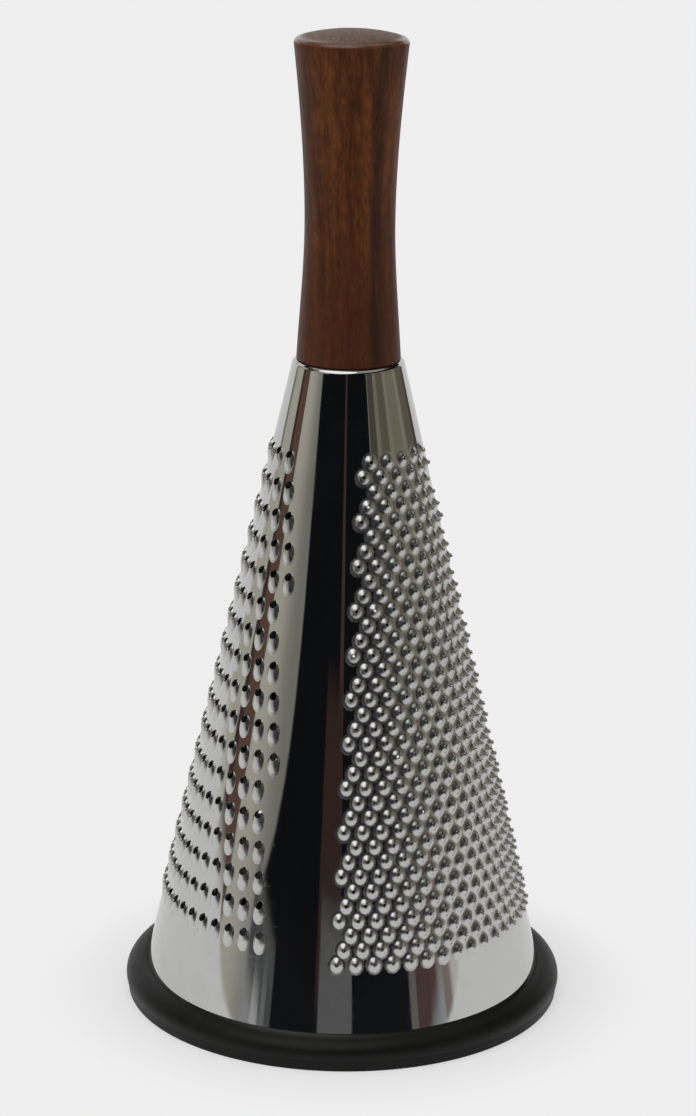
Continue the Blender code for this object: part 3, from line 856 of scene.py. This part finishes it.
def woodPattern(tree, place, name):
    stretch, *rest = wood[name]
    return noise(tree, stretched(tree, place, stretch), *rest)


def woodMaterial():
    material, tree, shader = newMaterial(
        "oiledWood", {"Specular IOR Level": wood["specular"],
                      "Coat Roughness": wood["oilRoughness"], "Coat IOR": wood["oilIndex"]})
    place = objectPlace(tree)
    part = splitAxes(tree, place)
    foot, rim = handleLow[2], handleLow[2] + grip["rimHeight"]
    # figure and fibres run up the handle with a gentle lean
    lean = addNode(tree, "ShaderNodeMapping", {"Vector": place, "Rotation": wood["lean"]})
    broad, fine, mottle = (woodPattern(tree, lean.outputs[0], name)
                           for name in ("broad", "fine", "mottle"))
    patch = woodPattern(tree, place, "patch")
    tone = mixColour(tree, remap(tree, broad, *wood["broadRamp"], smooth=True),
                     wood["ground"], wood["warm"])
    tone = mixColour(tree, remap(tree, mottle, *wood["mottleRamp"]), tone, wood["dark"])
    tone = mixColour(tree, remap(tree, patch, *wood["patchRamp"], smooth=True), tone, wood["dark"])
    # redder towards the steel
    redFrom, redTo, *redShare = wood["redRamp"]
    low = remap(tree, part["Z"], foot + redFrom, foot + redTo, *redShare, smooth=True)
    tone = mixColour(tree, low, tone, wood["red"])
    # one dark streak that wavers as it climbs
    angle = calc(tree, "MULTIPLY_ADD", woodPattern(tree, place, "waver"), wood["streakWaver"],
                 frontAngle(tree, part))
    away = minus(tree, angle, wood["streakAngle"] + wood["streakWaver"] / 2)
    away = calc(tree, "ABSOLUTE", away)
    streak = remap(tree, away, wood["streakWidth"], wood["streakCore"], 0.0, wood["streakDepth"],
                   smooth=True)
    streak = times(tree, streak, remap(tree, broad, *wood["streakBreak"]))
    tone = mixColour(tree, streak, tone, wood["dark"])
    tone = mixColour(tree, remap(tree, fine, *wood["fineRamp"]), tone, wood["dark"])
    # the end of the grain shows on the dome; its pale colour also paints the dome's sheen
    crown = remap(tree, part["Z"], rim + wood["crownFrom"], rim + wood["crownTo"])
    end = mixColour(tree, remap(tree, woodPattern(tree, place, "rings"), *wood["ringRamp"]),
                    wood["endGrainAndSheen"], wood["endPore"])
    tone = mixColour(tree, times(tree, crown, wood["crownShare"]), tone, end)
    # handling has polished the edge of the dome; a paler tint in the same band is a painted
    # highlight along the edge
    edge = calc(tree, "ABSOLUTE", minus(tree, part["Z"], rim + wood["edgeBandHeight"]))
    polishAndHighlightBand = remap(tree, edge, *wood["edgeBandWidths"], smooth=True)
    tone = mixColour(tree, times(tree, polishAndHighlightBand, wood["paintedHighlightShare"]), tone, wood["paintedEdgeHighlight"])
    # short pores and a little dust
    pores = addNode(tree, "ShaderNodeTexVoronoi",
                    {"Vector": stretched(tree, place, wood["poreStretch"]),
                     "Scale": wood["poreScale"]})
    pore = remap(tree, pores.outputs["Distance"], *wood["poreEdge"])
    tone = mixColour(tree, times(tree, pore, wood["poreShare"]), tone, wood["dark"])
    tree.links.new(addDust(tree, wood, tone), shader["Base Color"])
    rough = plus(tree, remap(tree, fine, *wood["roughRamp"]), wood["roughness"])
    rough = calc(tree, "MULTIPLY_ADD", polishAndHighlightBand, -wood["edgePolish"], rough)
    tree.links.new(rough, shader["Roughness"])
    tree.links.new(times(tree, polishAndHighlightBand, wood["edgeShine"]), shader["Coat Weight"])
    relief = minus(tree, times(tree, fine, wood["reliefShare"]), pore)
    addBump(tree, shader, relief, wood["reliefDepth"], wood["reliefStrength"])
    return material


def buildHandle():
    base = handleLow[2] - grip["seat"]
    edge = grip["edge"]
    low, high = grip["baseEdge"], grip["rimHeight"] - edge
    heights = [low + (high - low) * step / grip["upright"] for step in range(grip["upright"])]
    profile = [(grip["baseRadius"] - grip["baseEdge"], base)]
    profile += [(gripRadius(height), base + height) for height in heights]
    profile += arc((gripRadius(high) - edge, base + high), edge, edge, 0, grip["edgeTurn"],
                   grip["edgeSteps"])
    domeRadius, domeFoot = profile[-1]
    domeRise = handleHigh[2] - domeFoot
    profile += [(domeRadius * (1 - share),
                 domeFoot + domeRise * (1 - (1 - share) ** grip["domePower"]))
                for share in grip["domeSteps"]]
    pilotTop, socketTop = base + grip["pilotDepth"], base + grip["socketDepth"]
    profile += [(0.0, pilotTop), (grip["pilotRadius"], pilotTop), (grip["pilotRadius"], socketTop),
                (grip["socketRadius"], socketTop), (grip["socketRadius"], base)]
    piece = makePiece("woodGrip", spinProfile(profile, grip["around"]), woodMaterial())
    shadeRound(piece.data)
    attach(piece, "root")
    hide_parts("handle")


buildHandle()
print("handle done")


# The screw, the washers and the insert keep their CAD shapes.

for nodeName, values in (("handle_screw", zincPlate), ("clamp_washer", washerSteel),
                         ("lock_washer", springSteel), ("thread_insert", insertBrass)):
    finish = metalMaterial(nodeName + "Finish", values)
    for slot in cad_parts[nodeName].material_slots:
        slot.material = finish
print("fixing done")


# The studio: floor, room, lamp and camera.

studio = {
    "paper": 0.862,              # how the pale ground looks in the picture
    "steelPaper": 0.71,          # and in the steel
    "floorColour": 0.86,
    "floorRadius": 1.4,
    "floorAround": 96,
    "shadeFrom": 0.062,          # the ground's own light and shade shows this near
    "shadeTo": 0.085,
    "shadeShare": 0.58,          # share of even ground right beside the ring
    "shadeInner": 0.056,         # none of it inside
    "fadeFrom": 0.55,            # and the ground itself ends here
    "fadeTo": 1.15,
    "frontEdge": 0.158,          # or already here towards the viewer
    "frontSoftness": 0.02,
    "frontTurn": math.radians(-4),
    "evenLight": 0.725,          # what lights dull surfaces from all round
    "ceiling": (0.37, 0.365, 0.34),
    "ceilingFrom": 40.0,         # degrees above the horizon
    "ceilingTo": 60.0,
    "lowSoftness": 0.4,          # of the lower edge of every card, in degrees
    "highSoftness": 0.6,
    "bowHeight": 6.2,            # where a bowed card stands furthest out, in degrees
}

# Cards that stand round the table and show in the steel: name, centre and half width in degrees
# round from the front, low and high edge in degrees above the horizon, softness, colour.
roomCards = (
    ("leftWall", -85, 35, -90, 60, 3.0, (0.46, 0.445, 0.385)),
    ("leftEdgeLine", -123.5, 2.5, -2.5, 60, 1.5, (0.22, 0.22, 0.20)),
    ("leftWallShade", -46, 3, -90, 60, 27.0, (0.22, 0.215, 0.19)),
    ("leftCabinet", -89, 6.5, -90, 42, 1.5, (0.120, 0.072, 0.052)),
    ("leftCabinetEdge", -97.5, 2, -90, 42, 1.5, (0.055, 0.036, 0.032)),
    ("rightWall", 85, 49, -90, 60, 2.0, (0.205, 0.192, 0.142)),
    ("rightShelf", 42, 5.5, -90, 60, 1.0, (0.082, 0.070, 0.060)),
    ("rightShelfLine", 35.5, 0.8, -1, 60, 0.6, (0.20, 0.18, 0.14)),
    ("rightRail", 62, 6, -90, 60, 2.5, (0.128, 0.108, 0.088)),
    ("rightPaleLine", 74, 2, -90, 60, 2.0, (0.240, 0.225, 0.175)),
    ("rightFarLine", 100.5, 2.5, -90, 60, 2.0, (0.260, 0.245, 0.195)),
    ("rightDoor", 117, 9, -90, 60, 2.5, (0.138, 0.122, 0.096)),
    ("rightDoorEdge", 130.5, 4, -90, 60, 1.0, (0.085, 0.072, 0.056)),
    ("frontDark", -3, 37.5, -90, 50, 1.2, (0.0060, 0.0065, 0.0075)),
    ("frontDarkBow", -33, 10, 1.2, 50, 1.8, (0.0060, 0.0065, 0.0075)),
    ("leftFootShade", -47, 9, -90, -0.4, 14.0, (0.30, 0.30, 0.305)),
    ("leftFootDark", -50, 8, -0.5, 1.2, 3.0, (0.075, 0.078, 0.082)),
    ("leftFootPaleLine", -51, 1.5, -9, -0.2, 1.5, (0.42, 0.42, 0.43)),
    ("leftFootDarkLine", -46, 1.0, -9, 0.6, 1.0, (0.17, 0.17, 0.175)),
    ("frontLow", -27, 13, -90, 2.4, 1.5, (0.0085, 0.0090, 0.0105)),
    ("rightFootDark", 22, 17, -90, 2.4, 1.0, (0.0095, 0.0100, 0.0115)),
    ("frontSeam", -3, 1.3, 2, 34, 0.8, (0.058, 0.036, 0.032)),
    ("frontSeamLow", -8.5, 6.5, 2, 7.5, 1.0, (0.040, 0.024, 0.020)),
    ("frontStand", -4, 9, -6, 3.6, 1.0, (0.125, 0.125, 0.127)),
    ("rightFootPaleLine", 42, 1.5, -6, 2.2, 1.0, (0.145, 0.137, 0.120)),
    ("rightFootRed", 50.5, 6, -6, 2.2, 1.0, (0.088, 0.052, 0.050)),
    ("rightFootPale", 63.5, 4, -6, 2.2, 3.0, (0.225, 0.195, 0.180)),
    ("rightFootGlass", 56.5, 4, -9, -0.9, 1.5, (0.31, 0.345, 0.36)),
    ("rightFootGround", 76, 7, -6, 0.5, 4.0, (0.56, 0.54, 0.51)),
)
cardBows = {"frontDarkBow": 0.48}    # degrees sideways per squared degree from the bow's height


def makePanel():
    tree, given, made = newGroup("roomPanel", "ShaderNodeTree",
                                 floats(("Round", "Up", "Centre", "Half Width", "Low", "High",
                                         "Softness", "Bow")), floats(("Mask",)))
    off = minus(tree, given["Up"], studio["bowHeight"])
    bow = times(tree, times(tree, off, off), given["Bow"])
    away = minus(tree, plus(tree, given["Round"], bow), given["Centre"])
    away = calc(tree, "ABSOLUTE", away)
    near = calc(tree, "MINIMUM", away, minus(tree, 360.0, away))
    outer = plus(tree, given["Half Width"], given["Softness"])
    across = remap(tree, near, outer, given["Half Width"], smooth=True)
    lift = remap(tree, given["Up"], minus(tree, given["Low"], studio["lowSoftness"]),
                 plus(tree, given["Low"], studio["lowSoftness"]))
    sink = remap(tree, given["Up"], plus(tree, given["High"], studio["highSoftness"]),
                 minus(tree, given["High"], studio["highSoftness"]), smooth=True)
    tree.links.new(times(tree, across, times(tree, lift, sink)), made[0])
    return tree


def grey(level):
    return (level, level, level)


def groundTone(tree, rays):
    return mixColour(tree, rays["Is Glossy Ray"], grey(studio["paper"]), grey(studio["steelPaper"]))


def seenRay(tree, rays):
    # 1 where the picture, a reflection or a clear piece shows the ground
    seen = calc(tree, "MAXIMUM", rays["Is Camera Ray"], rays["Is Glossy Ray"])
    return calc(tree, "MAXIMUM", seen, rays["Is Transmission Ray"])


def buildWorld():
    world = bpy.data.worlds.new("studioRoom")
    world.use_nodes = True
    bpy.context.scene.world = world
    tree = world.node_tree
    tree.nodes.clear()
    part = splitAxes(tree, addNode(tree, "ShaderNodeTexCoord").outputs["Generated"])
    roundDegrees = times(tree, frontAngle(tree, part), math.degrees(1))
    upDegrees = times(tree, calc(tree, "ARCSINE", part["Z"]), math.degrees(1))
    panel = makePanel()
    rays = addNode(tree, "ShaderNodeLightPath").outputs
    pale = groundTone(tree, rays)
    tone = pale
    for name, centre, half, low, high, soft, colour in roomCards:
        mask = useGroup(tree, panel, {"Round": roundDegrees, "Up": upDegrees, "Centre": centre,
                                      "Half Width": half, "Low": low, "High": high,
                                      "Softness": soft, "Bow": cardBows.get(name, 0.0)})
        mask.label = name
        tone = mixColour(tree, mask.outputs[0], tone, colour)
    above = remap(tree, upDegrees, studio["ceilingFrom"], studio["ceilingTo"], smooth=True)
    tone = mixColour(tree, above, tone, studio["ceiling"])
    shown = mixColour(tree, rays["Is Camera Ray"], tone, pale)
    lit = mixColour(tree, seenRay(tree, rays), grey(studio["evenLight"]), shown)
    room = addNode(tree, "ShaderNodeBackground", {"Color": lit})
    addNode(tree, "ShaderNodeOutputWorld", {"Surface": room.outputs[0]})


def floorMaterial():
    # pale paper that fades into the pale ground some way from the object
    material = bpy.data.materials.new("palePaper")
    material.use_nodes = True
    tree = material.node_tree
    tree.nodes.clear()
    place = objectPlace(tree)
    away = vectorCalc(tree, "LENGTH", place, result="Value")
    front = (math.sin(studio["frontTurn"]), -math.cos(studio["frontTurn"]), 0.0)
    forward = vectorCalc(tree, "DOT_PRODUCT", place, front, result="Value")
    fade = calc(tree, "MAXIMUM",
                remap(tree, away, studio["fadeFrom"], studio["fadeTo"], smooth=True),
                remap(tree, forward, studio["frontEdge"] - studio["frontSoftness"],
                      studio["frontEdge"] + studio["frontSoftness"], smooth=True))
    # from underneath, the paper is clear
    under = addNode(tree, "ShaderNodeNewGeometry").outputs["Backfacing"]
    fade = calc(tree, "MAXIMUM", fade, under)
    paper = addNode(tree, "ShaderNodeBsdfDiffuse", {"Color": grey(studio["floorColour"])})
    rays = addNode(tree, "ShaderNodeLightPath").outputs
    even = addNode(tree, "ShaderNodeEmission", {"Color": groundTone(tree, rays)})
    far = remap(tree, away, studio["shadeFrom"], studio["shadeTo"], studio["shadeShare"], 1.0,
                smooth=True)
    far = times(tree, far, calc(tree, "GREATER_THAN", away, studio["shadeInner"]))
    far = times(tree, far, seenRay(tree, rays))
    ground = addNode(tree, "ShaderNodeMixShader", {0: far, 1: paper.outputs[0], 2: even.outputs[0]})
    clear = addNode(tree, "ShaderNodeBsdfTransparent")
    both = addNode(tree, "ShaderNodeMixShader",
                   {0: fade, 1: ground.outputs[0], 2: clear.outputs[0]})
    addNode(tree, "ShaderNodeOutputMaterial", {"Surface": both.outputs[0]})
    return material


def buildFloor():
    shape = bmesh.new()
    bmesh.ops.create_circle(shape, cap_ends=True, segments=studio["floorAround"],
                            radius=studio["floorRadius"])
    floor = makePiece("paperFloor", shape, floorMaterial())


softbox = {
    "size": 2.5,
    "power": 15.5,
    "place": (-0.64, -0.92, 2.07),
    "aim": (0.0, 0.0, 0.1),
}


def buildLamp():
    light = bpy.data.lights.new("softbox", "AREA")
    light.shape = "DISK"
    light.size = softbox["size"]
    light.energy = softbox["power"]
    lamp = addObject("softbox", light)
    lamp.location = softbox["place"]
    direction = Vector(softbox["aim"]) - Vector(softbox["place"])
    lamp.rotation_euler = direction.to_track_quat("-Z", "Y").to_euler()


view = {
    "place": (0.0004, -0.84343, 0.36744),
    "pitch": 16.37,              # degrees down
    "roll": 0.60,
    "sensor": 36.0,              # mm high
    "focal": 108.48,             # mm
    "nearClip": 0.01,
}


def buildCamera():
    data = bpy.data.cameras.new("camera")
    data.sensor_fit = "VERTICAL"
    data.sensor_height = view["sensor"]
    data.lens = view["focal"]
    data.clip_start = view["nearClip"]
    camera = addObject("camera", data)
    pitch, roll = math.radians(view["pitch"]), math.radians(view["roll"])
    right, up = Vector((1, 0, 0)), Vector((0, math.sin(pitch), math.cos(pitch)))
    back = Vector((0, -math.cos(pitch), math.sin(pitch)))
    sideways = right * math.cos(roll) + up * math.sin(roll)
    upwards = up * math.cos(roll) - right * math.sin(roll)
    matrix = camera.matrix_world.copy()
    for column, axis in enumerate((sideways, upwards, back)):
        for line in range(3):
            matrix[line][column] = axis[line]
    matrix.translation = view["place"]
    camera.matrix_world = matrix
    bpy.context.scene.camera = camera


buildWorld()
buildFloor()
buildLamp()
buildCamera()
bpy.context.scene.view_settings.view_transform = "Standard"
print("studio done")
